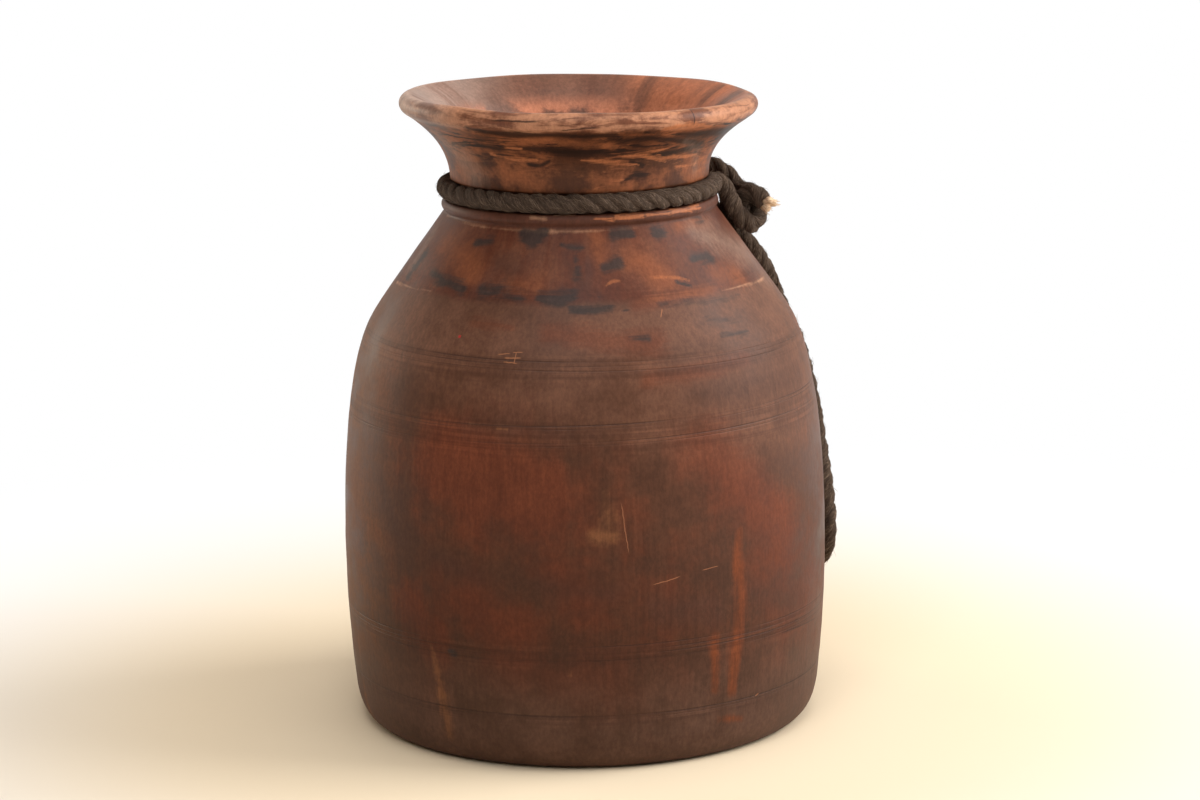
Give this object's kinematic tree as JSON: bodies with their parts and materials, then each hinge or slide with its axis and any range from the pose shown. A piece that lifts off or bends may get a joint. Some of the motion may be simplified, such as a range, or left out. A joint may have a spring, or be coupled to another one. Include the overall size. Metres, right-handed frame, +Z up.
{
  "type": "wooden milk pot with rope",
  "caption": "Turned wooden pot with a flared mouth and a round belly for carrying milk, with a rope tied round its neck and a hanging carrying loop.",
  "frame": {"origin": "middle of the flat foot that the pot stands on", "axes": "+Z up along the pot's turning axis, +X to the right towards the knot's side as seen from the front, +Y to the back"},
  "size_m": [0.2715, 0.2632, 0.34],
  "materials": {
    "stained_wood": "satin, stained red-brown, hand turned, worn at the rim and foot",
    "dark_rope": "three-strand laid rope, darkened by soot and handling, matt",
    "frayed_fibre": "bare tan plant fibre, matt"
  },
  "bodies": {
    "pot": {"pot": "stained_wood"},
    "rope_on_neck": {"neck_rope": "dark_rope", "frayed_end": "frayed_fibre", "tucked_end": "dark_rope"},
    "carrying_loop": {"carrying_loop": "dark_rope"}
  },
  "joints": [
    {"name": "rope_turn", "type": "hinge", "parent": "pot", "child": "rope_on_neck", "pos_m": [0, 0, 0.2905], "axis": [0, 0, 1], "continuous": true},
    {"name": "loop_swing", "type": "hinge", "parent": "rope_on_neck", "child": "carrying_loop", "pos_m": [0.08575, 0.04559, 0.2544], "axis": [0.4695, -0.8829, 0], "range_deg": [0, 75]}
  ]
}
